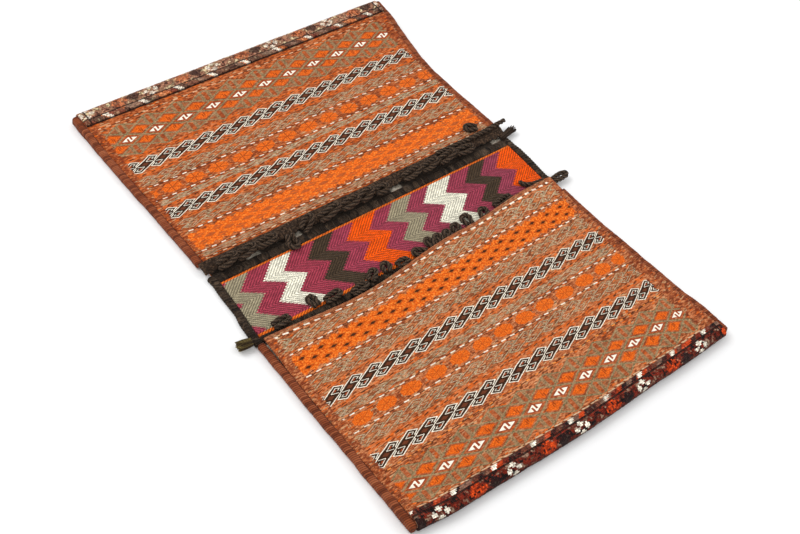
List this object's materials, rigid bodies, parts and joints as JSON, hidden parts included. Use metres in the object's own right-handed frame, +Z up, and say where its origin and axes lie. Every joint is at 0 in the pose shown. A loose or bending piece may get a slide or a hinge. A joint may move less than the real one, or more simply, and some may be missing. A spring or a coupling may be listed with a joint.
{
  "type": "kilim saddle bag",
  "caption": "Flat-woven wool saddle bag lying open and empty: two pockets joined by a chevron bridge, with pile at both ends and rows of dark closure loops.",
  "frame": {"origin": "on the ground under the middle of the bag's outline, without its loose cords", "axes": "+Z up out of the faces; +Y along the bag from the near pocket to the far pocket; +X across the bag, to the right when looking along +Y"},
  "size_m": [0.6989, 0.944, 0.0311],
  "materials": {
    "flat_weave": "matte flat weave in terracotta wool with bands of orange, grey-green, white and dark brown",
    "knotted_pile": "short knotted wool pile in dark red, orange, black-brown and cream",
    "side_seam": "oversewn wool edge, matte",
    "chevron_work": "thick wrapped wool in raspberry, orange, cream, grey and dark brown chevrons",
    "dark_binding": "wrapped dark goat hair, coarse and matte",
    "loop_cord": "braided dark goat hair cord with a dull sheen",
    "cut_wool": "cut ends of brown and olive wool yarn"
  },
  "bodies": {
    "root": {"near_pocket_cloth": "flat_weave", "far_pocket_cloth": "flat_weave", "near_pile_strip": "knotted_pile", "far_pile_strip": "knotted_pile", "near_seam_left": "side_seam", "near_seam_right": "side_seam", "far_seam_left": "side_seam", "far_seam_right": "side_seam", "bridge_panel": "chevron_work", "bridge_binding_left": "dark_binding", "bridge_binding_right": "dark_binding", "bridge_binding_near": "dark_binding", "bridge_binding_far": "dark_binding", "far_mouth_edge": "dark_binding", "far_loop_1": "loop_cord", "far_loop_2": "loop_cord", "far_loop_3": "loop_cord", "far_loop_4": "loop_cord", "far_loop_5": "loop_cord", "far_loop_6": "loop_cord", "far_loop_7": "loop_cord", "far_loop_8": "loop_cord", "far_loop_9": "loop_cord", "far_loop_10": "loop_cord", "far_loop_11": "loop_cord", "far_loop_12": "loop_cord", "far_loop_13": "loop_cord", "far_loop_14": "loop_cord", "near_loop_1": "loop_cord", "near_loop_2": "loop_cord", "near_loop_3": "loop_cord", "near_loop_4": "loop_cord", "near_loop_5": "loop_cord", "near_loop_6": "loop_cord", "near_loop_7": "loop_cord", "near_loop_8": "loop_cord", "near_loop_9": "loop_cord", "near_loop_10": "loop_cord", "near_loop_11": "loop_cord", "near_loop_12": "loop_cord", "near_loop_13": "loop_cord", "near_loop_14": "loop_cord", "near_loop_15": "loop_cord", "corner_loop": "loop_cord", "far_tie_cord": "loop_cord", "near_tie_cord": "loop_cord", "corner_tassel": "loop_cord", "corner_tuft": "cut_wool"}
  },
  "joints": []
}
